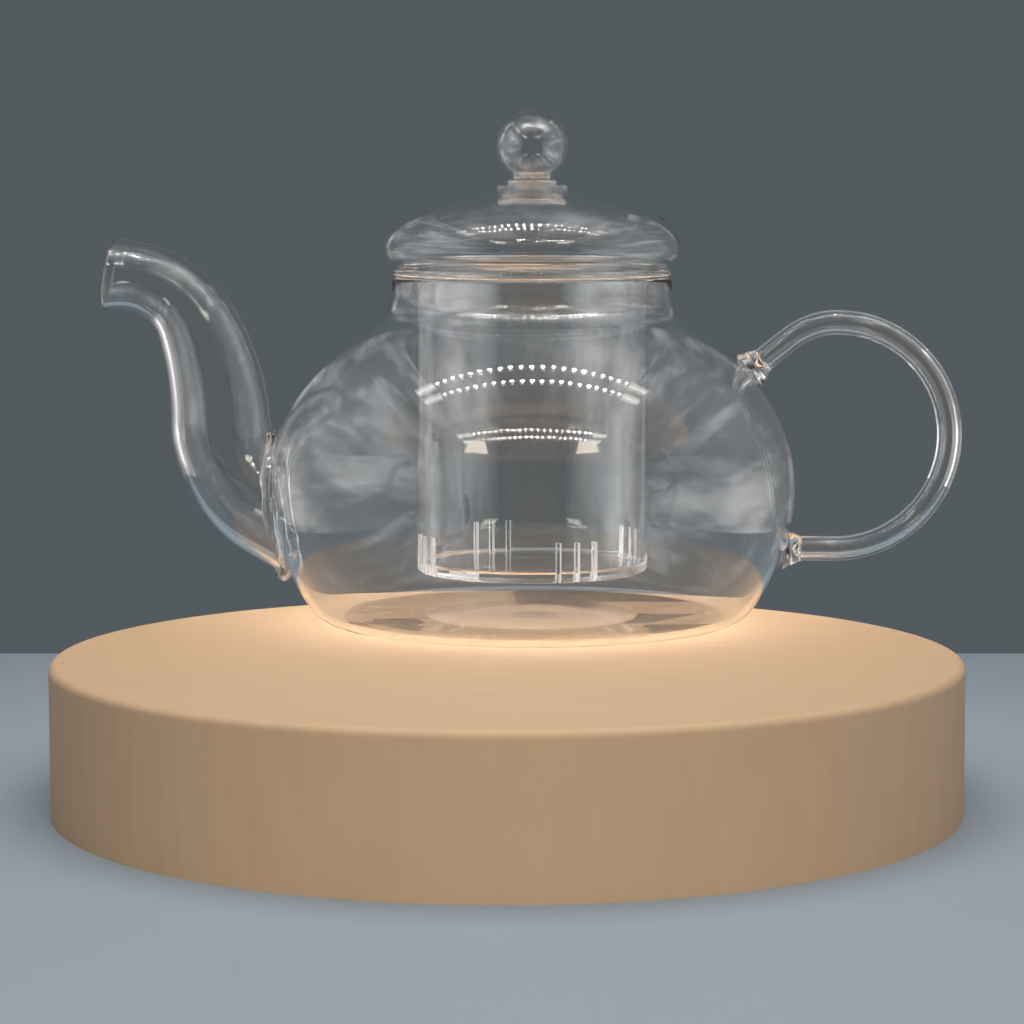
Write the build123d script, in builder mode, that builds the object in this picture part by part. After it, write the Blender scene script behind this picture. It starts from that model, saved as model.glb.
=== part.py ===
"""Glass teapot with a lift-out glass infuser and a lift-off lid.

Millimetres. The teapot's axis is +Z, its flat base rests on z = 0, the spout points to -X and the
handle to +X. Pot, infuser and lid are each fused from several glass blanks, and every blank is its
own solid that meets its neighbours face to face.
"""

import os
from math import acos, asin, cos, degrees, radians, sin

from build123d import *

os.makedirs("parts", exist_ok=True)

# Bowl: two half ellipses share the belly line, the neck stands on the upper one.
bowl_r = 70.0
belly_z = 36.0
shoulder_rise = 54.5
underside_drop = 58.0
neck_r = 36.9
rim_z = 91.0
bowl_wall = 1.8
foot_round = 10.0
shoulder_round = 8.0
rim_round = 0.85

# Spout: a straight start inside the bowl and three tangent bends, (radius, turn in degrees).
spout_root = (-67.7, 31.9)
spout_root_angle = 156.7
spout_inside = 9.0
spout_bends = ((24.3, -64.5), (70.0, 21.0), (22.9, 71.5))
spout_root_d = 33.6
spout_mouth_d = 19.2
spout_mouth = (-110.8, 92.0)
spout_mouth_angle = 171.0
spout_wall = 1.7
spout_weld_rise = 2.0
spout_weld_spread = 0.5

# Handle: a thick tube that climbs off the shoulder, turns level and comes back in a half circle.
handle_r = 3.25
handle_bore_r = 1.9
ear_r = 30.0
ear_x = 80.5
ear_z = 49.5
climb_angle = 38.5
climb_bend_r = 20.0
climb_length = 7.8
lower_joint_x = 67.1
weld_r = 5.4
weld_length = 5.5

# Infuser: hangs on the rim by its flange; sawn slits near the foot.
seat_gap = 0.05
tube_r = 30.65
tube_wall = 1.6
flange_r = 36.5
flange_t = 2.4
foot_z = 13.6
foot_t = 2.2
foot_edge_round = 1.4
slit_w = 1.2
slit_h = 10.4
slit_reach = 2.6
slit_groups = 4
slits_per_group = 3
slit_pitch = 9.5
slit_turn = -67.5

# Lid: low dome, curled edge, inner collar, ringed stem and hollow ball.
lid_r = 39.1
dome_rise = 17.5
curl_r = 4.8
lid_wall = 1.6
collar_r = 26.5
collar_drop = 12.0
stem_r = 5.1
stem_foot_r = 9.1
stem_foot_z = 111.2
stem_top_z = 117.8
knob_r = 9.3
knob_z = 125.5
knob_wall = 1.4

flange_z = rim_z + seat_gap
lid_z = flange_z + flange_t + seat_gap
dome_z = lid_z + curl_r


def bowl_solid(inset, top):
    """The bowl filled in, with its skin moved inwards by inset, cut level at the given top."""
    r, rise, drop = bowl_r - inset, shoulder_rise - inset, underside_drop - inset
    low = degrees(asin((inset - belly_z) / drop))
    high = degrees(acos((neck_r - inset) / r))
    with BuildPart() as solid:
        with BuildSketch(Plane.XZ) as half:
            with BuildLine():
                under = EllipticalCenterArc((0, belly_z), r, drop, start_angle=low, arc_size=-low)
                over = EllipticalCenterArc((0, belly_z), r, rise, start_angle=0, arc_size=high)
                Polyline(over @ 1, (neck_r - inset, top), (0, top), (0, inset), under @ 0)
            make_face()
            fillet(half.vertices().sort_by_distance(under @ 0)[0], foot_round - inset)
            fillet(half.vertices().sort_by_distance(over @ 1)[0], shoulder_round + inset)
        revolve(axis=Axis.Z)
    return solid.part


with BuildLine(Plane.XZ) as spout_run:
    back = (
        spout_root[0] - spout_inside * cos(radians(spout_root_angle)),
        spout_root[1] - spout_inside * sin(radians(spout_root_angle)),
    )
    start = Line(back, spout_root)
    lower = JernArc(start @ 1, start % 1, *spout_bends[0])
    middle = JernArc(lower @ 1, lower % 1, *spout_bends[1])
    upper = JernArc(middle @ 1, middle % 1, *spout_bends[2])
mouth_plane = Plane(
    (spout_mouth[0], 0, spout_mouth[1]),
    x_dir=(0, 1, 0),
    z_dir=(cos(radians(spout_mouth_angle)), 0, sin(radians(spout_mouth_angle))),
)

# Where each round section of the spout stands: (piece of the run, share of it, diameter).
spout_sections = (
    (start, 0, spout_root_d),
    (start, 1, spout_root_d - 2.6),
    (lower, 0.25, 29.4),
    (lower, 0.6, 26.6),
    (lower, 1, 26.2),
    (middle, 0.5, 24.4),
    (middle, 1, 21.6),
    (upper, 0.33, 19.2),
    (upper, 0.66, 18.2),
    (upper, 0.88, 18.0),
)


def spout_solid(grow):
    """The spout filled in, with its skin moved outwards by grow; a bore runs out past the mouth."""
    with BuildPart() as solid:
        for piece, share, diameter in spout_sections:
            with BuildSketch(Plane(piece @ share, x_dir=(0, 1, 0), z_dir=piece % share)):
                Circle(diameter / 2 + grow)
        with BuildSketch(mouth_plane.offset(max(-grow, 0))):
            Circle(spout_mouth_d / 2 + grow)
        loft()
    return solid.part


def dome_solid(inset):
    """The lid's dome filled in, with its skin moved inwards by inset."""
    with BuildPart() as solid:
        with BuildSketch(Plane.XZ):
            with BuildLine():
                cap = EllipticalCenterArc(
                    (0, dome_z), lid_r - inset, dome_rise - inset, start_angle=0, arc_size=90
                )
                curl = CenterArc((lid_r - curl_r, dome_z), curl_r - inset, 270, 90)
                Polyline(curl @ 0, (0, lid_z + inset), cap @ 1)
            make_face()
        revolve(axis=Axis.Z)
    return solid.part


def weld_solid(foot, angle):
    """A flared pad around the handle: it starts inside the bowl and thins down to the tube."""
    along = Plane(
        (foot[0], 0, foot[1]), x_dir=(cos(radians(angle)), 0, sin(radians(angle))), z_dir=(0, -1, 0)
    )
    with BuildPart() as solid:
        with BuildSketch(along):
            with BuildLine():
                flare = TangentArc((weld_length, handle_r), (0, weld_r), tangent=(-1, 0))
                Polyline(flare @ 1, (-4, weld_r), (-4, 0), (weld_length, 0), flare @ 0)
            make_face()
        revolve(axis=Axis(along.origin, along.x_dir))
    return solid.part


bowl_skin = bowl_solid(0, rim_z)
weld_skin = bowl_solid(-spout_weld_rise, rim_z)
spout_skin = spout_solid(0)
spout_bore = spout_solid(-spout_wall)

# The handle's centre line, from the upper pad round to the lower one. Both pads sit on the bowl's skin.
climb_dir = (cos(radians(climb_angle)), sin(radians(climb_angle)))
bend_start = (
    ear_x - climb_bend_r * climb_dir[1],
    ear_z + ear_r - climb_bend_r * (1 - climb_dir[0]),
)
upper_joint = (
    bend_start[0] - (climb_length + weld_length) * climb_dir[0],
    bend_start[1] - (climb_length + weld_length) * climb_dir[1],
)
lower_joint = (lower_joint_x, ear_z - ear_r)
with BuildLine(Plane.XZ) as handle_run:
    climb = PolarLine(
        (upper_joint[0] + weld_length * climb_dir[0], upper_joint[1] + weld_length * climb_dir[1]),
        climb_length,
        climb_angle,
    )
    over_bend = JernArc(climb @ 1, climb % 1, climb_bend_r, -climb_angle)
    ear = JernArc(over_bend @ 1, over_bend % 1, ear_r, -180)
    Line(ear @ 1, (lower_joint[0] + weld_length, lower_joint[1]))

upper_weld = weld_solid(upper_joint, climb_angle)
lower_weld = weld_solid(lower_joint, 0)

with BuildPart() as bowl:
    add(bowl_skin)
    add(bowl_solid(bowl_wall, rim_z + 1), mode=Mode.SUBTRACT)
    add(spout_bore, mode=Mode.SUBTRACT)
    fillet(bowl.edges().group_by(Axis.Z)[-1], rim_round)
bowl.part.label = "bowl"
export_step(bowl.part, "parts/bowl.step")

with BuildPart() as spout:
    add(spout_skin)
    add(spout_bore, mode=Mode.SUBTRACT)
    add(weld_skin, mode=Mode.SUBTRACT)
spout.part.label = "spout"
export_step(spout.part, "parts/spout.step")

with BuildPart() as spout_weld:
    add(spout_solid(spout_weld_spread))
    add(weld_skin, mode=Mode.INTERSECT)
    add(bowl_skin, mode=Mode.SUBTRACT)
    add(spout_bore, mode=Mode.SUBTRACT)
spout_weld.part.label = "spout_weld"
export_step(spout_weld.part, "parts/spout_weld.step")

with BuildPart() as handle:
    with BuildSketch(Plane(climb @ 0, z_dir=climb % 0)):
        Circle(handle_r)
        Circle(handle_bore_r, mode=Mode.SUBTRACT)
    sweep(path=handle_run.wires()[0])
handle.part.label = "handle"
export_step(handle.part, "parts/handle.step")

with BuildPart() as handle_upper_weld:
    add(upper_weld)
    add(bowl_skin, mode=Mode.SUBTRACT)
handle_upper_weld.part.label = "handle_upper_weld"
export_step(handle_upper_weld.part, "parts/handle_upper_weld.step")

with BuildPart() as handle_lower_weld:
    add(lower_weld)
    add(bowl_skin, mode=Mode.SUBTRACT)
handle_lower_weld.part.label = "handle_lower_weld"
export_step(handle_lower_weld.part, "parts/handle_lower_weld.step")

# The saw blades that cut the slits, four groups of three around the foot.
with BuildPart() as blades:
    for group in range(slit_groups):
        middle_angle = slit_turn + group * 360 / slit_groups
        spread = slit_pitch * (slits_per_group - 1)
        with BuildSketch(Plane.XY.offset(foot_z - 1)):
            with PolarLocations(tube_r, slits_per_group, middle_angle - spread / 2, spread, endpoint=True):
                Rectangle(2 * slit_reach, slit_w)
        extrude(amount=slit_h + 1)

with BuildPart() as infuser_tube:
    with BuildSketch(Plane.XY.offset(foot_z)):
        Circle(tube_r)
        Circle(tube_r - tube_wall, mode=Mode.SUBTRACT)
    extrude(amount=flange_z - foot_z)
    foot_edges = infuser_tube.edges().filter_by(GeomType.CIRCLE).group_by(Axis.Z)[0]
    fillet(foot_edges.sort_by(SortBy.RADIUS)[-1], foot_edge_round)
    add(blades.part, mode=Mode.SUBTRACT)
infuser_tube.part.label = "infuser_tube"
export_step(infuser_tube.part, "parts/infuser_tube.step")

with BuildPart() as infuser_flange:
    with BuildSketch(Plane.XY.offset(flange_z)):
        Circle(flange_r)
        Circle(tube_r - tube_wall, mode=Mode.SUBTRACT)
    extrude(amount=flange_t)
    fillet(infuser_flange.edges().filter_by(GeomType.CIRCLE).sort_by(SortBy.RADIUS)[-2:], flange_t * 0.42)
infuser_flange.part.label = "infuser_flange"
export_step(infuser_flange.part, "parts/infuser_flange.step")

with BuildPart() as infuser_base:
    with BuildSketch(Plane.XY.offset(foot_z)):
        Circle(tube_r - tube_wall)
    extrude(amount=foot_t)
    add(blades.part, mode=Mode.SUBTRACT)
infuser_base.part.label = "infuser_base"
export_step(infuser_base.part, "parts/infuser_base.step")

# The stem: a puddle of glass under the dome, two rings and a waist that carries the ball.
with BuildPart() as lid_stem:
    with BuildSketch(Plane.XZ):
        with BuildLine():
            foot_ring = ThreePointArc(
                (stem_foot_r - 0.6, stem_foot_z),
                (stem_foot_r, stem_foot_z + 0.8),
                (stem_foot_r - 1.2, stem_foot_z + 1.9),
            )
            middle_ring = ThreePointArc(
                foot_ring @ 1,
                (stem_foot_r - 0.7, stem_foot_z + 3.2),
                (stem_foot_r - 2.5, stem_foot_z + 4.8),
            )
            top_ring = ThreePointArc(
                middle_ring @ 1,
                (stem_r + 1.2, stem_foot_z + 5.5),
                (stem_r, stem_foot_z + 6.2),
            )
            Polyline(
                top_ring @ 1, (stem_r, stem_top_z), (0, stem_top_z), (0, stem_foot_z), foot_ring @ 0
            )
        make_face()
    revolve(axis=Axis.Z)
lid_stem.part.label = "lid_stem"
export_step(lid_stem.part, "parts/lid_stem.step")

with BuildPart() as lid_dome:
    add(dome_solid(0))
    add(dome_solid(lid_wall), mode=Mode.SUBTRACT)
    with BuildSketch(Plane.XY.offset(lid_z)):
        Circle(collar_r - lid_wall)
    extrude(amount=2 * lid_wall, mode=Mode.SUBTRACT)
    add(lid_stem.part, mode=Mode.SUBTRACT)
lid_dome.part.label = "lid_dome"
export_step(lid_dome.part, "parts/lid_dome.step")

with BuildPart() as lid_collar:
    with BuildSketch(Plane.XY.offset(lid_z - collar_drop)):
        Circle(collar_r)
        Circle(collar_r - lid_wall, mode=Mode.SUBTRACT)
    extrude(amount=collar_drop)
    fillet(lid_collar.edges().group_by(Axis.Z)[0], lid_wall * 0.45)
lid_collar.part.label = "lid_collar"
export_step(lid_collar.part, "parts/lid_collar.step")

with BuildPart() as lid_knob:
    with Locations((0, 0, knob_z)):
        Sphere(knob_r)
        Sphere(knob_r - knob_wall, mode=Mode.SUBTRACT)
    split(bisect_by=Plane.XY.offset(stem_top_z), keep=Keep.TOP)
lid_knob.part.label = "lid_knob"
export_step(lid_knob.part, "parts/lid_knob.step")
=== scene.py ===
"""Looks of a clear glass teapot with a lift-out infuser and a lift-off lid.

Metres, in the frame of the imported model: the bowl's axis is +Z, the spout points to -X, the handle
to +X. Everything here is made of rings of glass: a ring has a centre, a direction across and a
radius, and one Geometry Nodes tree turns a row of rings into a skin.
"""

import math

import bmesh
import bpy
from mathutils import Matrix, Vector


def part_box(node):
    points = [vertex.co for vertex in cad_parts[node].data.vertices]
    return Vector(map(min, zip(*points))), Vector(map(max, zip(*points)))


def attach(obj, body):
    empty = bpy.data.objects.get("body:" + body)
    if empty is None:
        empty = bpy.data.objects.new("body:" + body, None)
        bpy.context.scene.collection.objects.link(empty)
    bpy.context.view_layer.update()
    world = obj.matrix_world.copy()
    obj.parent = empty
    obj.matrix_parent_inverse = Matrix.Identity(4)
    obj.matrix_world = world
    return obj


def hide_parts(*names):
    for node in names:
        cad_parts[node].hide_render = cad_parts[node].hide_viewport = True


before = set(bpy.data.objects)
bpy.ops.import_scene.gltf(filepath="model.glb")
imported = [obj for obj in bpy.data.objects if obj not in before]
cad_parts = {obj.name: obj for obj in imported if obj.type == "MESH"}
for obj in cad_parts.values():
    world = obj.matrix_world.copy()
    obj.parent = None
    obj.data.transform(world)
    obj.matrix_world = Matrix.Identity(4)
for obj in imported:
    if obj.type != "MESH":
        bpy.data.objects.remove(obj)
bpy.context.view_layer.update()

MM = 0.001
bowl_low, bowl_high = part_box("bowl")
flange_low, flange_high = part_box("infuser_flange")
tube_low, tube_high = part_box("infuser_tube")
dome_low, dome_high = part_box("lid_dome")
knob_low, knob_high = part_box("lid_knob")
handle_low, handle_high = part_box("handle")

# Bowl, in millimetres
BOWL_R = bowl_high[1] / MM
BELLY_Z = 36.0
SHOULDER_RISE = 54.5
UNDERSIDE_DROP = 58.0
NECK_R = 36.9
RIM_Z = bowl_high[2] / MM
BOWL_WALL = 1.8
FOOT_ROUND = 10.0
SHOULDER_ROUND = 8.0
PUNT_R = 28.0
PUNT_RISE = 0.7

# Spout
SPOUT_ROOT = (-67.7, 31.9)
SPOUT_ROOT_ANGLE = 156.7
SPOUT_INSIDE = 9.0
SPOUT_BENDS = ((24.3, -64.5), (70.0, 21.0), (22.9, 71.5))
SPOUT_WIDTHS = ((0.0, 33.6), (0.1, 31.0), (0.175, 29.4), (0.28, 26.6), (0.4, 26.2), (0.543, 24.4),
                (0.684, 21.6), (0.789, 19.2), (0.893, 18.2), (0.962, 18.0), (1.0, 19.2))
SPOUT_WALL = 1.7
MOUTH_LEAN = -13.7
BEAD_R = 1.9

# Handle
HANDLE_R = 3.25
HANDLE_BORE_R = 1.9
BORE_END = 2.6
EAR_R = 30.0
EAR_X = handle_high[0] / MM - HANDLE_R - EAR_R
EAR_Z = handle_low[2] / MM + HANDLE_R + EAR_R
CLIMB_ANGLE = 38.5
CLIMB_BEND_R = 20.0
PAD_R = 5.4
PAD_LENGTH = 5.5

# Infuser
TUBE_R = tube_high[1] / MM
TUBE_WALL = 1.6
FLANGE_R = flange_high[1] / MM
FOOT_Z = tube_low[2] / MM
FOOT_T = 2.2
SLIT_W = 1.2
SLIT_H = 10.4
SLIT_GROUPS = 4
SLITS_PER_GROUP = 3
SLIT_PITCH = math.radians(9.5)
SLIT_TURN = math.radians(-67.5)

# Lid
LID_R = dome_high[1] / MM
LID_Z = dome_low[2] / MM
DOME_RISE = 17.5
CURL_R = 4.8
LID_WALL = 1.6
COLLAR_R = 26.5
COLLAR_DROP = 12.0
KNOB_R = knob_high[1] / MM
KNOB_Z = knob_high[2] / MM - KNOB_R
KNOB_WALL = 1.4
STEM_R = 5.1
STEM_FOOT_R = 9.1
STEM_FOOT_Z = 111.2
STEM_TOP_Z = 117.8

GLASS_IOR = 1.47
SUNK = 0.9
BEAD_STEPS = 120
SLIT_REACH = 2.6

# Light tent, in metres
LAMPS_PER_ROW = 21
LAMP_PITCH = 0.0196
LAMP_ROWS_Y = (-0.056, -0.112, -0.36, -0.416)
LAMP_Z = 0.39
LAMP_R = 0.0038
LAMP_STRENGTH = 260.0
PANEL_X = 0.26
CORNER_X = 0.225
WINDOW_TURN = 27.0
TABLE_BACK = 0.195
TABLE_HALF = 0.31
TENT_LOW, TENT_HIGH = -0.037, 0.46
STREAK_NEAR, STREAK_FAR, STREAK_HALF_WIDTH = 0.205, 0.26, 0.012
WINDOW_DISTANCE, WINDOW_Z, WINDOW_HALF_HEIGHT = 0.9, 0.67, 0.09
WINDOW_HALF_SILL, WINDOW_HALF_TOP = 0.11, 0.06

# Block under the pot, in millimetres
BLOCK_CENTRE = (-6.0, -60.5)
BLOCK_R = 111.5
BLOCK_DEPTH = 37.0
BLOCK_ROUND = 2.0

# Backdrop and camera
SLATE = (0.088, 0.104, 0.113, 1)
GLASS_BOUNCES = 40
CAMERA_PLACE = (0, -0.777, 0.104)
CAMERA_PITCH = 5.5
LENS_MM = 103.4
SENSOR_MM = 36.0
FRAME_SHIFT = -20 / 1024

SEAM_GAP = 0.002 * MM
CORNER_ANGLE = 38
RIM_WIDTH = 2.2
AROUND_BOWL = 192
AROUND_TUBE = 72
AROUND_HANDLE = 40


# ---------------------------------------------------------------- node trees


class Value:
    """A socket that takes part in Python sums: every sum adds the Math node that works it out."""

    def __init__(self, tree, socket):
        self.tree, self.socket = tree, socket

    def sum(self, operation, *others):
        return self.tree.add("ShaderNodeMath", {"operation": operation}, [self, *others])

    def __add__(self, other):
        return self.sum("ADD", other)

    def __sub__(self, other):
        return self.sum("SUBTRACT", other)

    def __rsub__(self, other):
        return self.tree.add("ShaderNodeMath", {"operation": "SUBTRACT"}, [other, self])

    def __mul__(self, other):
        return self.sum("MULTIPLY", other)

    __radd__, __rmul__ = __add__, __mul__

    def beside(self, out):
        """Another output of the same node."""
        return Value(self.tree, self.socket.node.outputs[out])

    def between(self, low, high):
        """0 below low, 1 above high, smooth in the middle."""
        settings = {"interpolation_type": "SMOOTHSTEP"}
        edges = {"Value": self, "From Min": low, "From Max": high}
        return self.tree.add("ShaderNodeMapRange", settings, edges)


class Tree:
    """A node tree written as Python expressions."""

    def __init__(self, nodes_of):
        self.nodes_of = nodes_of

    def add(self, kind, settings=None, inputs=None, out=0):
        """Adds a node: settings first, then its sockets by name or in order. Gives back one output."""
        node = self.nodes_of.nodes.new(kind)
        for name, setting in (settings or {}).items():
            setattr(node, name, setting)
        pairs = inputs.items() if isinstance(inputs, dict) else enumerate(inputs or [])
        for key, given in pairs:
            if isinstance(given, Value):
                self.nodes_of.links.new(given.socket, node.inputs[key])
            elif given is not None:
                node.inputs[key].default_value = given
        return Value(self, node.outputs[out]) if len(node.outputs) else node

    def vector(self, operation, *inputs):
        """Vector Math on the given vectors."""
        return self.add("ShaderNodeVectorMath", {"operation": operation}, list(inputs))

    def mix_colour(self, share, one, other):
        """One colour where the share is 0, the other where it is 1."""
        return self.add("ShaderNodeMix", {"data_type": "RGBA"}, {0: share, 6: one, 7: other}, out=2)


def new_geometry_tree(name, numbers):
    """An empty Geometry Nodes tree with a geometry input, number inputs and a material input."""
    group = bpy.data.node_groups.new(name, "GeometryNodeTree")
    group.interface.new_socket("Geometry", in_out="INPUT", socket_type="NodeSocketGeometry")
    for label, kind in numbers.items():
        group.interface.new_socket(label, in_out="INPUT", socket_type=kind)
    group.interface.new_socket("Material", in_out="INPUT", socket_type="NodeSocketMaterial")
    group.interface.new_socket("Geometry", in_out="OUTPUT", socket_type="NodeSocketGeometry")
    tree = Tree(group)
    entry = group.nodes.new("NodeGroupInput")
    return group, tree, {s.name: Value(tree, s) for s in entry.outputs if s.name}


def finish_geometry_tree(group, tree, shape, material):
    """Makes the instances real, gives them the material and leads them out."""
    real = tree.add("GeometryNodeRealizeInstances", None, {"Geometry": shape})
    painted = tree.add("GeometryNodeSetMaterial", None, {"Geometry": real, "Material": material})
    leave = group.nodes.new("NodeGroupOutput")
    group.links.new(painted.socket, leave.inputs[0])
    return group


def ring_skin_tree():
    """Turns points that carry 'reach' and 'across' into a skin with one ring of vertices for each."""
    numbers = {"Around": "NodeSocketInt", "Merge": "NodeSocketFloat"}
    group, tree, entry = new_geometry_tree("ring_skin", numbers)
    rows = entry["Geometry"]
    count = tree.add("GeometryNodeAttributeDomainSize", {"component": "MESH"}, {"Geometry": rows})
    grid = tree.add("GeometryNodeMeshGrid", None, {"Vertices X": entry["Around"] + 1.0, "Vertices Y": count})
    turn = tree.add("ShaderNodeSeparateXYZ", None, {"Vector": grid.beside("UV Map")})
    row = (turn.beside("Y") * (count - 1.0)).sum("ROUND")

    def from_row(kind, name):
        """What the points carry under this name, read for the row each grid vertex stands in."""
        source = (tree.add("GeometryNodeInputPosition") if name == "position" else
                  tree.add("GeometryNodeInputNamedAttribute", {"data_type": kind}, {"Name": name}))
        return tree.add("GeometryNodeSampleIndex", {"data_type": kind, "domain": "POINT"},
                        {"Geometry": rows, "Value": source, "Index": row})

    angle = turn * math.tau
    reach = from_row("FLOAT", "reach")
    sideways = tree.add("ShaderNodeCombineXYZ", None, [None, reach * angle.sum("SINE"), None])
    outwards = from_row("FLOAT_VECTOR", "across")
    scaled = tree.add("ShaderNodeVectorMath", {"operation": "SCALE"},
                      {"Vector": outwards, "Scale": reach * angle.sum("COSINE")})
    place = tree.vector("ADD", from_row("FLOAT_VECTOR", "position"), scaled)
    place = tree.vector("ADD", place, sideways)
    skin = tree.add("GeometryNodeSetPosition", None, {"Geometry": grid, "Position": place})
    skin = tree.add("GeometryNodeMergeByDistance", None, {"Geometry": skin, "Distance": entry["Merge"]})
    return finish_geometry_tree(group, tree, skin, entry["Material"])


def slit_blade_tree():
    """Stands one thin block at every point, turned to face away from the axis."""
    group, tree, entry = new_geometry_tree(
        "slit_blades", {"Width": "NodeSocketFloat", "Reach": "NodeSocketFloat", "Height": "NodeSocketFloat"})
    size = tree.add("ShaderNodeCombineXYZ", None, [entry["Reach"], entry["Width"], entry["Height"]])
    blade = tree.add("GeometryNodeMeshCube", None, {"Size": size})
    place = tree.add("GeometryNodeInputPosition")
    turning = {"axis": "X", "pivot_axis": "Z"}
    facing = tree.add("FunctionNodeAlignRotationToVector", turning, {"Vector": place})
    row = tree.add("GeometryNodeInstanceOnPoints", None,
                   {"Points": entry["Geometry"], "Instance": blade, "Rotation": facing})
    return finish_geometry_tree(group, tree, row, entry["Material"])


def bead_tree():
    """Lays a bead along a closed loop of points that carry 'reach', the bead's radius."""
    group, tree, entry = new_geometry_tree("fused_bead", {"Around": "NodeSocketInt"})
    line = tree.add("GeometryNodeMeshToCurve", None, {"Mesh": entry["Geometry"]})
    thickness = tree.add("GeometryNodeInputNamedAttribute", {"data_type": "FLOAT"}, {"Name": "reach"})
    section = tree.add("GeometryNodeCurvePrimitiveCircle", None,
                       {"Resolution": entry["Around"], "Radius": 1.0})
    bead = tree.add("GeometryNodeCurveToMesh", None,
                    {"Curve": line, "Profile Curve": section, "Scale": thickness})
    return finish_geometry_tree(group, tree, bead, entry["Material"])


def run_tree(name, group, mesh, settings):
    """Runs a tree on a mesh and gives back the result as a plain object."""
    carrier = bpy.data.objects.new(name + "_carrier", mesh)
    bpy.context.scene.collection.objects.link(carrier)
    modifier = carrier.modifiers.new("tree", "NODES")
    modifier.node_group = group
    for item in group.interface.items_tree:
        if item.in_out == "INPUT" and item.name in settings:
            modifier[item.identifier] = settings[item.name]
    graph = bpy.context.evaluated_depsgraph_get()
    made = bpy.data.meshes.new_from_object(carrier.evaluated_get(graph))
    carrier.modifiers.remove(modifier)
    bpy.data.objects.remove(carrier)
    piece = bpy.data.objects.new(name, made)
    bpy.context.scene.collection.objects.link(piece)
    return piece


# ---------------------------------------------------------------- outlines


def arc(centre, radius, start, stop, steps, rise=None):
    """Points on a circle, or on an ellipse if a rise is given; angles in degrees."""
    rise = radius if rise is None else rise
    turns = [math.radians(start + (stop - start) * k / steps) for k in range(steps + 1)]
    return [(centre[0] + radius * math.cos(t), centre[1] + rise * math.sin(t)) for t in turns]


def straight(start, stop, steps):
    """Points spread evenly along a line."""
    return [(start[0] + (stop[0] - start[0]) * k / steps, start[1] + (stop[1] - start[1]) * k / steps)
            for k in range(steps + 1)]


def joined(*stretches):
    """One outline from several, without doubled points."""
    outline = []
    for stretch in stretches:
        for point in stretch:
            if not outline or math.dist(point, outline[-1]) > 1e-4:
                outline.append(point)
    return outline


def curve_between(start, bulge, stop, steps):
    """A soft bend that leaves start, is pulled towards bulge and arrives at stop."""
    shares = [k / steps for k in range(steps + 1)]
    return [tuple((1 - t) ** 2 * a + 2 * t * (1 - t) * b + t * t * c for a, b, c in zip(start, bulge, stop))
            for t in shares]


def rings_on_axis(outline):
    """Rings round the teapot's axis, one for each (radius, height) of an outline."""
    return [((0.0, 0.0, z), (1.0, 0.0, 0.0), r) for r, z in outline]


def ring_mesh(name, rings, closed_loop=False):
    """Points for a tree to work on, one for each ring, strung into a closed loop if asked."""
    edges = [(k, (k + 1) % len(rings)) for k in range(len(rings))] if closed_loop else []
    mesh = bpy.data.meshes.new(name)
    mesh.from_pydata([Vector(centre) * MM for centre, _, _ in rings], edges, [])
    reach = mesh.attributes.new("reach", "FLOAT", "POINT")
    across = mesh.attributes.new("across", "FLOAT_VECTOR", "POINT")
    for k, (_, direction, radius) in enumerate(rings):
        reach.data[k].value = radius * MM
        across.data[k].vector = direction
    return mesh


RING_SKIN = ring_skin_tree()
SLIT_BLADES = slit_blade_tree()
FUSED_BEAD = bead_tree()


def skin(name, rings, around, material, inside_out=False):
    """A closed skin of glass through a row of rings, facing outwards."""
    made = run_tree(name, RING_SKIN, ring_mesh(name + "_rings", rings),
                    {"Around": around, "Merge": SEAM_GAP, "Material": material})
    turn_outwards(made, inside_out)
    return made


def turn_outwards(piece, inside_out=False):
    """Closes the seams and poles of one skin and makes its faces point away from the glass."""
    work = bmesh.new()
    work.from_mesh(piece.data)
    bmesh.ops.remove_doubles(work, verts=work.verts, dist=SEAM_GAP)
    bmesh.ops.recalc_face_normals(work, faces=work.faces)
    if inside_out:
        bmesh.ops.reverse_faces(work, faces=work.faces)
    work.to_mesh(piece.data)
    work.free()


def fire_polish(piece):
    """Shades a piece smoothly, apart from the edges where two of its skins meet at a corner."""
    piece.data.polygons.foreach_set("use_smooth", [True] * len(piece.data.polygons))
    piece.data.set_sharp_from_angle(angle=math.radians(CORNER_ANGLE))


def combine(piece, other, operation):
    """Fuses the other piece onto this one, or cuts it out; the other piece is used up."""
    modifier = piece.modifiers.new("fuse", "BOOLEAN")
    modifier.operation, modifier.solver, modifier.object = operation, "EXACT", other
    modifier.material_mode = "TRANSFER"
    graph = bpy.context.evaluated_depsgraph_get()
    made = bpy.data.meshes.new_from_object(piece.evaluated_get(graph))
    piece.modifiers.remove(modifier)
    piece.data = made
    bpy.data.objects.remove(other)
    return piece


def solve(gap, low, high):
    """Where gap, which rises from low to high, is nought."""
    for _ in range(60):
        middle = (low + high) / 2
        low, high = (middle, high) if gap(middle) < 0 else (low, middle)
    return (low + high) / 2


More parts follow.
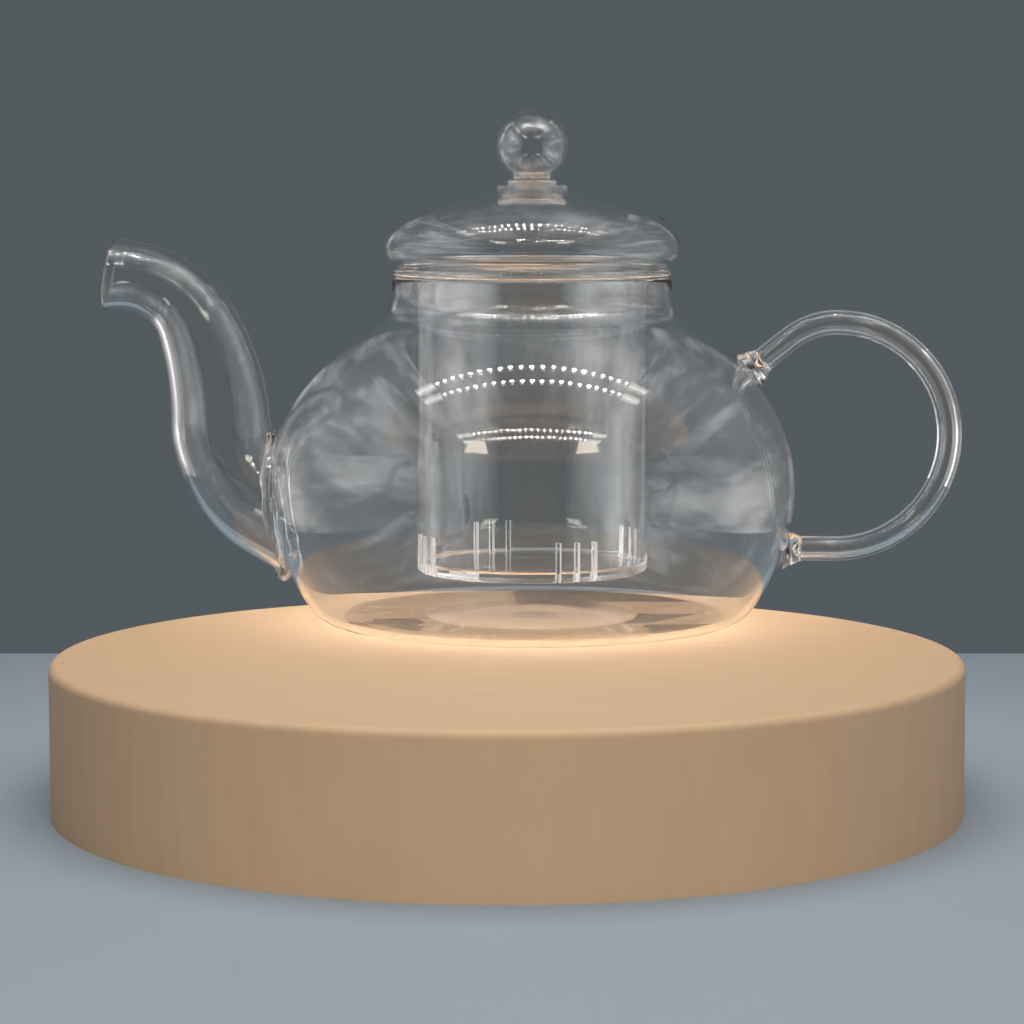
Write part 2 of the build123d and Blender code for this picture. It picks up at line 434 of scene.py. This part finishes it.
def bowl_side(inset):
    """The bowl's section from the flat base up to the neck, its skin moved inwards by inset."""
    foot_r, shoulder_r = FOOT_ROUND - inset, SHOULDER_ROUND + inset

    def beside(turn, out):
        """A point on the bowl's ellipses at this turn, moved outwards along the normal."""
        wide, tall = BOWL_R - inset, (SHOULDER_RISE if turn > 0 else UNDERSIDE_DROP) - inset
        across, up = tall * math.cos(turn), wide * math.sin(turn)
        share = out / math.hypot(across, up)
        return wide * math.cos(turn) + across * share, BELLY_Z + tall * math.sin(turn) + up * share

    low = solve(lambda t: beside(t, -foot_r)[1] - (inset + foot_r), -1.4, 0)
    high = solve(lambda t: NECK_R - inset + shoulder_r - beside(t, shoulder_r)[0], 0.3, 1.5)

    def heading(centre, point):
        return math.degrees(math.atan2(point[1] - centre[1], point[0] - centre[0]))

    foot, shoulder = beside(low, -foot_r), beside(high, shoulder_r)
    foot_turn = heading(foot, beside(low, 0))
    shoulder_turn = heading(shoulder, beside(high, 0)) % 360
    side = [beside(low + (high - low) * k / 96, 0) for k in range(97)]
    return joined(arc(foot, foot_r, -90, foot_turn, 12), side,
                  arc(shoulder, shoulder_r, shoulder_turn, 180, 14))


def bowl_outline():
    """The whole section of the bowl's wall, from the punt round the rim to the inner floor."""
    outer, inner = bowl_side(0), bowl_side(BOWL_WALL)
    punt = curve_between((0, PUNT_RISE), (PUNT_R * 0.75, PUNT_RISE), (PUNT_R, 0), 16)
    rim = arc((NECK_R - BOWL_WALL / 2, RIM_Z - BOWL_WALL / 2), BOWL_WALL / 2, 0, 180, 12)
    floor_low = (0, BOWL_WALL + PUNT_RISE)
    floor = curve_between(inner[0], (inner[0][0] * 0.6, BOWL_WALL), floor_low, 16)
    return joined(punt, straight((PUNT_R, 0), outer[0], 6), outer, rim, list(reversed(inner)), floor)


def infuser_outline():
    """The infuser's whole section: foot, tube, flange, and back down the inner wall."""
    inner_r, foot_inner_z = TUBE_R - TUBE_WALL, FOOT_Z + FOOT_T
    flange_z, flange_top = flange_low[2] / MM, flange_high[2] / MM
    half = (flange_top - flange_z) / 2
    return joined(
        straight((0, FOOT_Z), (TUBE_R - 1.6, FOOT_Z), 10),
        arc((TUBE_R - 1.6, FOOT_Z + 1.6), 1.6, -90, 0, 8),
        straight((TUBE_R, FOOT_Z + 1.7), (TUBE_R, flange_z - 0.6), 40),
        arc((TUBE_R + 0.6, flange_z - 0.6), 0.6, 180, 90, 5),
        straight((TUBE_R + 0.7, flange_z), (FLANGE_R - half, flange_z), 5),
        arc((FLANGE_R - half, flange_z + half), half, -90, 90, 12),
        straight((FLANGE_R - half, flange_top), (inner_r + 1.2, flange_top), 5),
        arc((inner_r + 1.2, flange_top - 1.2), 1.2, 90, 180, 6),
        straight((inner_r, flange_top - 1.3), (inner_r, foot_inner_z + 1.0), 40),
        arc((inner_r - 1.0, foot_inner_z + 1.0), 1.0, 0, -90, 6),
        straight((inner_r - 1.1, foot_inner_z), (0, foot_inner_z), 10),
    )


def lid_outline():
    """The lid's whole section: ball, ringed stem, dome, curled edge, collar and the puddle inside."""
    dome_z, collar_inner = LID_Z + CURL_R, COLLAR_R - LID_WALL
    collar_z = LID_Z - COLLAR_DROP
    ball_turn = math.degrees(math.acos((STEM_R - 0.2) / KNOB_R))

    def dome_turn(radius, inset):
        return math.degrees(math.acos(radius / (LID_R - inset)))

    outer_foot = STEM_R + 1.9
    waist, under_ring = (STEM_R, STEM_TOP_Z - 0.7), (STEM_R + 1.2, STEM_TOP_Z - 1.9)
    outer_dome = arc((0, dome_z), LID_R, dome_turn(outer_foot, 0), 0, 40, DOME_RISE)
    inner_dome = arc((0, dome_z), LID_R - LID_WALL, 0, dome_turn(STEM_FOOT_R - 0.9, LID_WALL), 40,
                     DOME_RISE - LID_WALL)
    return joined(
        arc((0, KNOB_Z), KNOB_R, 90, -ball_turn, 36),
        curve_between((STEM_R - 0.2, STEM_TOP_Z + 0.1), (STEM_R - 0.5, STEM_TOP_Z - 0.4), waist, 4),
        curve_between(waist, (STEM_R + 2.0, STEM_TOP_Z - 1.3), under_ring, 6),
        curve_between(under_ring, (STEM_R + 1.3, STEM_TOP_Z - 2.2), outer_dome[0], 5),
        outer_dome,
        arc((LID_R - CURL_R, dome_z), CURL_R, 0, -90, 14),
        straight((LID_R - CURL_R, LID_Z), (COLLAR_R + 0.8, LID_Z), 5),
        arc((COLLAR_R + 0.8, LID_Z - 0.8), 0.8, 90, 180, 5),
        straight((COLLAR_R, LID_Z - 0.9), (COLLAR_R, collar_z + LID_WALL / 2), 10),
        arc((COLLAR_R - LID_WALL / 2, collar_z + LID_WALL / 2), LID_WALL / 2, 0, -180, 10),
        straight((collar_inner, collar_z + LID_WALL / 2), (collar_inner, LID_Z + LID_WALL - 0.8), 10),
        arc((collar_inner + 0.8, LID_Z + LID_WALL - 0.8), 0.8, 180, 90, 5),
        straight((collar_inner + 0.9, LID_Z + LID_WALL), (LID_R - CURL_R, LID_Z + LID_WALL), 5),
        arc((LID_R - CURL_R, dome_z), CURL_R - LID_WALL, -90, 0, 12),
        inner_dome,
        curve_between(inner_dome[-1], (STEM_FOOT_R - 1.6, STEM_FOOT_Z + 2.4),
                      (STEM_FOOT_R - 0.9, STEM_FOOT_Z + 1.9), 6),
        arc((STEM_FOOT_R - 0.9, STEM_FOOT_Z + 0.95), 0.95, 90, -90, 10),
        straight((STEM_FOOT_R - 1.0, STEM_FOOT_Z), (0, STEM_FOOT_Z), 8),
    )


# ---------------------------------------------------------------- runs of glass tube


def along(start, heading, pieces, step=0.8):
    """Points and headings along a run: pieces are ('straight', length) or ('bend', radius, turn)."""
    x, z = start
    run = [((x, z), heading)]
    for kind, size, *turn in pieces:
        if kind == "straight":
            count = max(2, round(size / step))
            for _ in range(count):
                x += math.cos(heading) * size / count
                z += math.sin(heading) * size / count
                run.append(((x, z), heading))
        else:
            turn = math.radians(turn[0])
            count = max(4, round(size * abs(turn) / step))
            hand = math.copysign(1, turn)
            hub = (x - hand * size * math.sin(heading), z + hand * size * math.cos(heading))
            for k in range(1, count + 1):
                now = heading + turn * k / count
                x, z = hub[0] + hand * size * math.sin(now), hub[1] - hand * size * math.cos(now)
                run.append(((x, z), now))
            heading += turn
    return run


def ring_at(point, heading, radius, lean=0.0):
    """A ring square to the run at a point, or leaning off square."""
    tilt = heading + lean
    return ((point[0], 0.0, point[1]), (-math.sin(tilt), 0.0, math.cos(tilt)), radius)


def width_at(share):
    """The spout's width at a share of its length."""
    for (left, wide), (right, narrow) in zip(SPOUT_WIDTHS, SPOUT_WIDTHS[1:]):
        if share <= right:
            t = (share - left) / (right - left)
            t = t * t * (3 - 2 * t) if right == 1.0 else t
            return wide + (narrow - wide) * t
    return SPOUT_WIDTHS[-1][1]


def spout_run():
    """The spout's middle line, from inside the bowl to the mouth."""
    heading = math.radians(SPOUT_ROOT_ANGLE)
    start = (SPOUT_ROOT[0] - SPOUT_INSIDE * math.cos(heading),
             SPOUT_ROOT[1] - SPOUT_INSIDE * math.sin(heading))
    return along(start, heading, [("straight", SPOUT_INSIDE)] + [("bend", *bend) for bend in SPOUT_BENDS])


def spout_rings(inset):
    """Rings of the spout's skin from inside the bowl to the mouth, moved inwards by inset."""
    run = spout_run()
    rings = []
    for k, (point, heading) in enumerate(run):
        share = k / (len(run) - 1)
        lean = math.radians(MOUTH_LEAN) * max(0.0, (share - 0.8) / 0.2) ** 2
        near = [width_at(min(1, max(0, share + d))) for d in (-0.04, -0.02, 0, 0.02, 0.04)]
        rings.append(ring_at(point, heading, sum(near) / 10 - inset, lean))
    return rings


def spout_wall_rings():
    """The spout's wall: out along the skin, round the lip and back along the bore."""
    outer, inner = spout_rings(0), spout_rings(SPOUT_WALL)
    (x, _, z), across, radius = outer[-1]
    forward = (across[2], -across[0])
    lip = []
    for k in range(1, 10):
        turn = math.pi * k / 10
        out = math.sin(turn) * SPOUT_WALL / 2
        lip.append(((x + forward[0] * out, 0.0, z + forward[1] * out), across,
                    radius - SPOUT_WALL / 2 + math.cos(turn) * SPOUT_WALL / 2))
    return outer + lip + inner[::-1] + outer[:1]


def capped(rings):
    """The same rings with both ends drawn in to a point."""
    first, last = rings[0], rings[-1]
    return [(first[0], first[1], 0.0), *rings, (last[0], last[1], 0.0)]


def bowl_gap(x, y, z):
    """Below 0 inside the bowl's ellipses and above 0 outside them."""
    tall = SHOULDER_RISE if z > BELLY_Z else UNDERSIDE_DROP
    return math.hypot(math.hypot(x, y) / BOWL_R, (z - BELLY_Z) / tall) - 1


def run_to_bowl(point, heading):
    """How far the bowl's skin lies from a point outside it, along a heading."""
    return solve(lambda d: -bowl_gap(point[0] + d * math.cos(heading), 0,
                                     point[1] + d * math.sin(heading)), 0, 40)


def handle_rings():
    """The handle tube from inside the shoulder's wall to the lower joint, with a flared pad at both ends."""
    climb = math.radians(CLIMB_ANGLE)
    bend_start = (EAR_X - CLIMB_BEND_R * math.sin(climb),
                  EAR_Z + EAR_R - CLIMB_BEND_R * (1 - math.cos(climb)))
    climb_length = run_to_bowl(bend_start, climb + math.pi) + SUNK
    return_length = run_to_bowl((EAR_X, EAR_Z - EAR_R), math.pi) + SUNK
    start = (bend_start[0] - climb_length * math.cos(climb), bend_start[1] - climb_length * math.sin(climb))
    run = along(start, climb, [("straight", climb_length), ("bend", CLIMB_BEND_R, -CLIMB_ANGLE),
                               ("bend", EAR_R, -180), ("straight", return_length)], 0.6)
    lengths = [0.0]
    for (one, _), (two, _) in zip(run, run[1:]):
        lengths.append(lengths[-1] + math.dist(one, two))
    rings = []
    for length, (point, heading) in zip(lengths, run):
        from_end = max(0.0, min(length, lengths[-1] - length) - SUNK)
        flare = max(0.0, 1 - from_end / PAD_LENGTH)
        knuckle = 0.35 * math.exp(-((from_end - 2.6) / 0.9) ** 2)
        rings.append(ring_at(point, heading, HANDLE_R + (PAD_R - HANDLE_R) * flare ** 2.2 + knuckle))
    return capped(rings)


def handle_bore_rings(rings):
    """The handle's bore, sealed at both ends by its melted pads."""
    steps = round(BORE_END / 0.6)
    inner = rings[1 + steps:-1 - steps]
    bore = []
    for k, (centre, across, _) in enumerate(inner):
        from_end = min(k, len(inner) - 1 - k) / 6
        bore.append((centre, across, HANDLE_BORE_R * math.sqrt(1 - max(0.0, 1 - from_end) ** 2 * 0.97)))
    return capped(bore)


def bead_rings():
    """The loop where the spout's skin meets the bowl's, with the uneven thickness of the fused bead."""
    rings = spout_rings(0)

    def on_spout(place, turn):
        k = min(int(place), len(rings) - 2)
        points = []
        for (x, y, z), across, radius in rings[k:k + 2]:
            out = radius * math.cos(turn)
            points.append((x + across[0] * out, y + radius * math.sin(turn), z + across[2] * out))
        share = place - k
        return tuple(a + (b - a) * share for a, b in zip(*points))

    loop = []
    for k in range(BEAD_STEPS):
        turn = math.tau * k / BEAD_STEPS
        place = solve(lambda p: bowl_gap(*on_spout(p, turn)), 0, len(rings) * 0.5)
        broad, fine = 0.22 * math.sin(3 * turn + 0.6), 0.08 * math.sin(13 * turn + 2)
        lumps = 1 + broad + 0.12 * math.sin(8 * turn) + fine
        loop.append((on_spout(place, turn), (1.0, 0.0, 0.0), BEAD_R * lumps))
    return loop


# ---------------------------------------------------------------- glass and other finishes


def new_material(name):
    """A material with an empty tree."""
    material = bpy.data.materials.new(name)
    material.use_nodes = True
    material.node_tree.nodes.clear()
    return material, Tree(material.node_tree)


def finish_material(material, tree, shader):
    """Leads the shader to the material's surface."""
    leave = material.node_tree.nodes.new("ShaderNodeOutputMaterial")
    material.node_tree.links.new(shader.socket, leave.inputs["Surface"])
    return material


def clear_glass(name, tint, deep_tint, wave, depth, haze, stretch=(1.0, 1.0, 1.0)):
    """Clear glass. Tint drifts to deep_tint, the skin waves by depth every wave, smears carry a haze."""
    material, tree = new_material(name)
    where = tree.add("ShaderNodeTexCoord", out="Object")
    pulled = tree.add("ShaderNodeMapping", None, {"Vector": where, "Scale": stretch})
    drift = tree.add("ShaderNodeTexNoise", None, {"Vector": pulled, "Scale": 1 / wave, "Detail": 1.5})
    smear = tree.add("ShaderNodeTexNoise", None, {"Vector": pulled, "Scale": 3.3 / wave, "Detail": 4.0})
    colour = tree.mix_colour(drift.between(0.35, 0.7), tint, deep_tint)
    roughness = smear.between(0.58, 0.8) * haze
    skin_wave = tree.add("ShaderNodeBump", None, {"Strength": 1.0, "Distance": depth,
                                                  "Height": drift + smear * 0.05})
    return finish_material(material, tree, tree.add("ShaderNodeBsdfPrincipled", None, {
        "Base Color": colour, "Roughness": roughness, "Normal": skin_wave,
        "IOR": GLASS_IOR, "Transmission Weight": 1.0}))


def ground_glass(name):
    """The frosted faces that the saw leaves in the slits."""
    material, tree = new_material(name)
    where = tree.add("ShaderNodeTexCoord", out="Object")
    grit = tree.add("ShaderNodeTexNoise", None, {"Vector": where, "Scale": 2600.0, "Detail": 3.0})
    colour = tree.mix_colour(grit, (0.93, 0.94, 0.95, 1), (1, 1, 1, 1))
    bump = tree.add("ShaderNodeBump", None, {"Strength": 0.6, "Distance": 0.0002, "Height": grit})
    return finish_material(material, tree, tree.add("ShaderNodeBsdfPrincipled", None, {
        "Base Color": colour, "Roughness": grit * 0.3 + 0.4, "Normal": bump,
        "IOR": GLASS_IOR, "Transmission Weight": 1.0}))


BLOWN_GLASS = clear_glass("blown_glass", (0.992, 0.996, 0.997, 1), (0.986, 0.992, 0.994, 1),
                          0.022, 0.00003, 0.02)
DRAWN_GLASS = clear_glass("drawn_glass", (0.992, 0.995, 0.995, 1), (0.984, 0.99, 0.99, 1),
                          0.012, 0.00002, 0.02)
FUSED_GLASS = clear_glass("fused_glass", (0.985, 0.988, 0.985, 1), (0.97, 0.975, 0.97, 1),
                          0.0045, 0.00035, 0.05)
TUBE_GLASS = clear_glass("tube_glass", (0.99, 0.995, 0.996, 1), (0.984, 0.99, 0.992, 1),
                         0.016, 0.000025, 0.02, (3.0, 3.0, 0.35))
LID_GLASS = clear_glass("lid_glass", (0.992, 0.996, 0.997, 1), (0.984, 0.99, 0.993, 1),
                        0.018, 0.00002, 0.02)
# The flange rim: rough like a fused edge (real), and tinted pale gold as a painted reflection of the wooden
# block below.
RIM_FROST_AND_PAINTED_REFLECTION = clear_glass("rim_frost_and_painted_reflection", (0.99, 0.965, 0.9, 1), (0.98, 0.94, 0.86, 1),
                        0.006, 0.0001, 0.3)
GROUND_GLASS = ground_glass("ground_glass")


# ---------------------------------------------------------------- the pot


def spout_bore():
    """The bore as a solid, a hair narrower than the spout's own, for opening the bowl's wall."""
    rings = spout_rings(SPOUT_WALL + 0.15)
    return skin("bore", capped(rings[:len(rings) // 2]), AROUND_TUBE, BLOWN_GLASS)


def bowl_trim():
    """A solid that fills the bowl to the middle of its wall, for trimming the end of the spout."""
    middle = BOWL_WALL / 2
    side = bowl_side(middle)
    outline = joined([(0.0, middle)], side, [(NECK_R - middle, RIM_Z), (0.0, RIM_Z)])
    return skin("trim", rings_on_axis(outline), AROUND_BOWL, BLOWN_GLASS)


def make_pot():
    """Bowl, spout, handle and bead fused into one skin, with the bores open."""
    pot = skin("pot_glass", rings_on_axis(bowl_outline()), AROUND_BOWL, BLOWN_GLASS)
    combine(pot, spout_bore(), "DIFFERENCE")
    spout = skin("spout", spout_wall_rings(), AROUND_TUBE, BLOWN_GLASS)
    combine(spout, bowl_trim(), "DIFFERENCE")
    combine(pot, spout, "UNION")
    tube = handle_rings()
    combine(pot, skin("handle_tube", tube, AROUND_HANDLE, DRAWN_GLASS), "UNION")
    combine(pot, skin("handle_bore", handle_bore_rings(tube), AROUND_HANDLE, DRAWN_GLASS), "DIFFERENCE")
    bead = run_tree("bead", FUSED_BEAD, ring_mesh("bead_loop", bead_rings(), closed_loop=True),
                    {"Around": 16, "Material": FUSED_GLASS})
    turn_outwards(bead)
    combine(pot, bead, "UNION")
    return pot


# ---------------------------------------------------------------- the infuser and the lid


def slit_points():
    """One point in the tube's wall for each saw cut near the foot."""
    points = []
    for group in range(SLIT_GROUPS):
        middle = SLIT_TURN + group * math.tau / SLIT_GROUPS
        for k in range(SLITS_PER_GROUP):
            turn = middle + (k - (SLITS_PER_GROUP - 1) / 2) * SLIT_PITCH
            points.append(Vector((TUBE_R * math.cos(turn), TUBE_R * math.sin(turn),
                                  FOOT_Z + SLIT_H / 2 - 0.5)) * MM)
    mesh = bpy.data.meshes.new("slit_points")
    mesh.from_pydata(points, [], [])
    return mesh


def make_infuser():
    """The tube with its flange and foot, the slits cut out and the rim given rough glass with a warm tint
    that is a painted reflection of the block below.
    """
    infuser = skin("infuser_glass", rings_on_axis(infuser_outline()), AROUND_BOWL, TUBE_GLASS)
    blades = run_tree("blades", SLIT_BLADES, slit_points(),
                      {"Width": SLIT_W * MM, "Reach": 2 * SLIT_REACH * MM, "Height": (SLIT_H + 1) * MM,
                       "Material": GROUND_GLASS})
    combine(infuser, blades, "DIFFERENCE")
    # The rim's glass carries a painted warm reflection of the block below.
    infuser.data.materials.append(RIM_FROST_AND_PAINTED_REFLECTION)
    rim_slot = len(infuser.data.materials) - 1
    for face in infuser.data.polygons:
        if math.hypot(face.center.x, face.center.y) > (FLANGE_R - RIM_WIDTH) * MM:
            face.material_index = rim_slot
    return infuser


def make_lid():
    """The lid's skin, with the hollow inside the ball as a second skin."""
    lid = skin("lid_glass", rings_on_axis(lid_outline()), AROUND_BOWL, LID_GLASS)
    hollow_r = KNOB_R - KNOB_WALL
    hollow = skin("knob_hollow", rings_on_axis(arc((0, KNOB_Z), hollow_r, 90, -90, 48)), 96,
                  LID_GLASS, inside_out=True)
    both = bmesh.new()
    both.from_mesh(lid.data)
    both.from_mesh(hollow.data)
    both.to_mesh(lid.data)
    both.free()
    bpy.data.objects.remove(hollow)
    return lid


pot = make_pot()
infuser = make_infuser()
lid = make_lid()

POT_NODES = ("bowl", "spout", "spout_weld", "handle", "handle_upper_weld", "handle_lower_weld")
INFUSER_NODES = ("infuser_tube", "infuser_flange", "infuser_base")
LID_NODES = ("lid_dome", "lid_collar", "lid_stem", "lid_knob")

for piece, body, slot_name, nodes in ((pot, "pot", "pot_glass", POT_NODES),
                                      (infuser, "infuser", "infuser_glass", INFUSER_NODES),
                                      (lid, "lid", "lid_glass", LID_NODES)):
    fire_polish(piece)
    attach(piece, body)
    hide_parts(*nodes)
    piece.visible_shadow = False


# ---------------------------------------------------------------- floor, light and camera


def glow(name, colour, strength):
    """An evenly glowing surface."""
    material, tree = new_material(name)
    return finish_material(material, tree, tree.add("ShaderNodeEmission", None,
                                                    {"Color": colour, "Strength": strength}))


def lit_cloth(name, colour, strength, folds):
    """Cloth lit from behind, cloudy along its folds, fading to the front and rear, seen from inside."""
    material, tree = new_material(name)
    where = tree.add("ShaderNodeTexCoord", out="Object")
    depth = tree.add("ShaderNodeSeparateXYZ", None, {"Vector": where}, out="Y")
    pulled = tree.add("ShaderNodeMapping", None, {"Vector": where, "Scale": folds})
    cloud = tree.add("ShaderNodeTexNoise", None, {
        "Vector": pulled, "Scale": 6.0, "Detail": 5.0, "Roughness": 0.55, "Distortion": 0.3})
    fade = depth.between(-0.45, -0.02) * (1 - depth.between(-0.02, 0.26) * 0.72)
    shine = (cloud.between(0.4, 0.72) + 0.28) * fade * strength
    bright = tree.add("ShaderNodeEmission", None, {"Color": colour, "Strength": shine})
    outside = tree.add("ShaderNodeNewGeometry", out="Backfacing")
    clear = tree.add("ShaderNodeBsdfTransparent")
    return finish_material(material, tree, tree.add("ShaderNodeMixShader", None, [outside, bright, clear]))


def matt(name, one, other, size, roughness, stretch=(1.0, 1.0, 1.0)):
    """A matt finish that drifts between two colours in clouds of this size."""
    material, tree = new_material(name)
    where = tree.add("ShaderNodeTexCoord", out="Object")
    pulled = tree.add("ShaderNodeMapping", None, {"Vector": where, "Scale": stretch})
    cloud = tree.add("ShaderNodeTexNoise", None, {"Vector": pulled, "Scale": 1 / size, "Detail": 4.0})
    return finish_material(material, tree, tree.add("ShaderNodeBsdfPrincipled", None, {
        "Base Color": tree.mix_colour(cloud, one, other), "Roughness": roughness,
        "Specular IOR Level": 0.2}))


def stage_mesh(name, points, faces, material):
    """A mesh that belongs to the scene and not to the teapot."""
    mesh = bpy.data.meshes.new(name)
    mesh.from_pydata([Vector(p) for p in points], [], faces)
    mesh.materials.append(material)
    made = bpy.data.objects.new(name, mesh)
    bpy.context.scene.collection.objects.link(made)
    return made


def hidden_from_floor(light):
    """Leaves a glowing surface to the glass alone: it neither lights nor shades what is matt."""
    light.visible_diffuse = light.visible_shadow = False
    return light


def make_floor():
    """A low round block under the pot, and the table that it stands on."""
    block = matt("pale_block", (0.60, 0.40, 0.24, 1), (0.53, 0.34, 0.20, 1), 0.02, 0.6, (1, 5, 1))
    top_edge = arc((BLOCK_R - BLOCK_ROUND, -BLOCK_ROUND), BLOCK_ROUND, 90, 0, 6)
    outline = joined([(0.0, 0.0)], top_edge, [(BLOCK_R, -BLOCK_DEPTH), (0.0, -BLOCK_DEPTH)])
    rings = [((*BLOCK_CENTRE, z), (1.0, 0.0, 0.0), r) for r, z in outline]
    skin("block", rings, 128, block)
    table = matt("pale_table", (0.27, 0.32, 0.37, 1), (0.29, 0.34, 0.39, 1), 0.05, 0.8)
    half, low = TABLE_HALF, -BLOCK_DEPTH * MM
    stage_mesh("table", [(-half, -half, low), (half, -half, low), (half, TABLE_BACK, low),
                         (-half, TABLE_BACK, low)], [(0, 1, 2, 3)], table)


def make_lamp_rows():
    """Rows of small lamps overhead, and the blurred streaks in which the rows run on."""
    dots, faces = [], []
    for row_y in LAMP_ROWS_Y:
        for k in range(LAMPS_PER_ROW):
            x = (k - (LAMPS_PER_ROW - 1) / 2) * LAMP_PITCH
            first = len(dots)
            dots += [(x + LAMP_R * math.cos(t), row_y + LAMP_R * math.sin(t), LAMP_Z)
                     for t in (math.tau * n / 10 for n in range(10))]
            faces.append(tuple(range(first + 9, first - 1, -1)))
    lamps = stage_mesh("lamps", dots, faces, glow("lamp_light", (1, 0.98, 0.95, 1), LAMP_STRENGTH))
    bars, faces = [], []
    for row_y in LAMP_ROWS_Y:
        front, rear = row_y - STREAK_HALF_WIDTH, row_y + STREAK_HALF_WIDTH
        for near, far in ((STREAK_NEAR, STREAK_FAR), (-STREAK_FAR, -STREAK_NEAR)):
            first = len(bars)
            bars += [(near, front, LAMP_Z), (far, front, LAMP_Z), (far, rear, LAMP_Z), (near, rear, LAMP_Z)]
            faces.append((first + 3, first + 2, first + 1, first))
    streak_light = glow("streak_light", (1, 0.97, 0.93, 1), LAMP_STRENGTH / 40)
    streaks = stage_mesh("lamp_streaks", bars, faces, streak_light)
    for lights in (lamps, streaks):
        hidden_from_floor(lights).visible_camera = False


def make_side_panels():
    """Pale cloth walls left and right, with the rear corners of the tent turned in."""
    cloth = lit_cloth("cloth_light", (1, 0.98, 0.98, 1), 1.9, (1.0, 0.8, 2.4))
    for side, name in ((-1, "panel_left"), (1, "panel_right")):
        plan = [(side * PANEL_X, -0.45), (side * PANEL_X, 0.24), (side * CORNER_X, 0.42)]
        corners = [(x, y, z) for x, y in plan for z in (TENT_LOW, TENT_HIGH)]
        faces = [(k, k + 2, k + 3, k + 1) if side < 0 else (k + 1, k + 3, k + 2, k) for k in (0, 2)]
        hidden_from_floor(stage_mesh(name, corners, faces, cloth))


def make_ceiling():
    """The pale cloth roof of the tent, seen only from below."""
    roof = lit_cloth("roof_light", (1, 0.98, 0.98, 1), 1.5, (1.6, 0.5, 1.0))
    plan = [(-PANEL_X, -0.5), (PANEL_X, -0.5), (PANEL_X, 0.3), (-PANEL_X, 0.3)]
    corners = [(x, y, TENT_HIGH) for x, y in plan]
    hidden_from_floor(stage_mesh("roof", corners, [(3, 2, 1, 0)], roof))


def make_windows():
    """Two warm windows behind the camera, high to the left and the right."""
    warm = glow("window_light", (1, 0.86, 0.68, 1), 7.0)
    for side in (-1, 1):
        turn = math.radians(WINDOW_TURN) * side
        middle = Vector((math.sin(turn) * WINDOW_DISTANCE, -math.cos(turn) * WINDOW_DISTANCE, WINDOW_Z))
        along_wall = Vector((math.cos(turn), math.sin(turn), 0))
        up = Vector((0, 0, WINDOW_HALF_HEIGHT))
        sill, top = along_wall * WINDOW_HALF_SILL, along_wall * WINDOW_HALF_TOP
        corners = [middle - sill - up, middle + sill - up, middle + top + up, middle - top + up]
        window = stage_mesh("window_left" if side < 0 else "window_right", corners, [(3, 2, 1, 0)], warm)
        window.visible_camera = False


def make_far_room():
    """The dim brown room behind the camera, which the glass shows in its middle."""
    dim = glow("room_light", (1, 0.78, 0.66, 1), 0.16)
    corners = [(-0.7, -1.4, -0.4), (0.7, -1.4, -0.4), (0.7, -1.4, 1.0), (-0.7, -1.4, 1.0)]
    hidden_from_floor(stage_mesh("far_room", corners, [(3, 2, 1, 0)], dim))


def make_soft_lights():
    """Soft light for the floor: one lamp overhead and a fill from beside the camera."""
    for name, place, tilt, power in (("overhead", (0, -0.1, 0.6), 0, 3.1),
                                     ("fill", (0.1, -1.1, 0.5), 65, 6.3)):
        lamp = bpy.data.lights.new(name, "AREA")
        lamp.shape, lamp.size, lamp.size_y, lamp.energy = "RECTANGLE", 0.6, 0.6, power
        light = bpy.data.objects.new(name, lamp)
        light.location, light.rotation_euler = place, (math.radians(tilt), 0, 0)
        light.visible_glossy = light.visible_transmission = False
        bpy.context.scene.collection.objects.link(light)


def make_surroundings():
    """The slate backdrop, the view settings and enough bounces for many walls of glass."""
    world = bpy.data.worlds.new("slate")
    bpy.context.scene.world = world
    world.use_nodes = True
    world.node_tree.nodes["Background"].inputs["Color"].default_value = SLATE
    bpy.context.scene.view_settings.view_transform = "Standard"
    light_paths = bpy.context.scene.cycles
    light_paths.max_bounces = light_paths.transmission_bounces = light_paths.glossy_bounces = GLASS_BOUNCES


def make_camera():
    """A long lens a little above the lid, looking slightly down."""
    lens = bpy.data.cameras.new("camera")
    lens.sensor_width, lens.lens, lens.shift_x = SENSOR_MM, LENS_MM, FRAME_SHIFT
    camera = bpy.data.objects.new("camera", lens)
    camera.location = CAMERA_PLACE
    camera.rotation_euler = (math.radians(90 - CAMERA_PITCH), 0, 0)
    bpy.context.scene.collection.objects.link(camera)
    bpy.context.scene.camera = camera


make_floor()
make_lamp_rows()
make_side_panels()
make_ceiling()
make_windows()
make_far_room()
make_soft_lights()
make_surroundings()
make_camera()
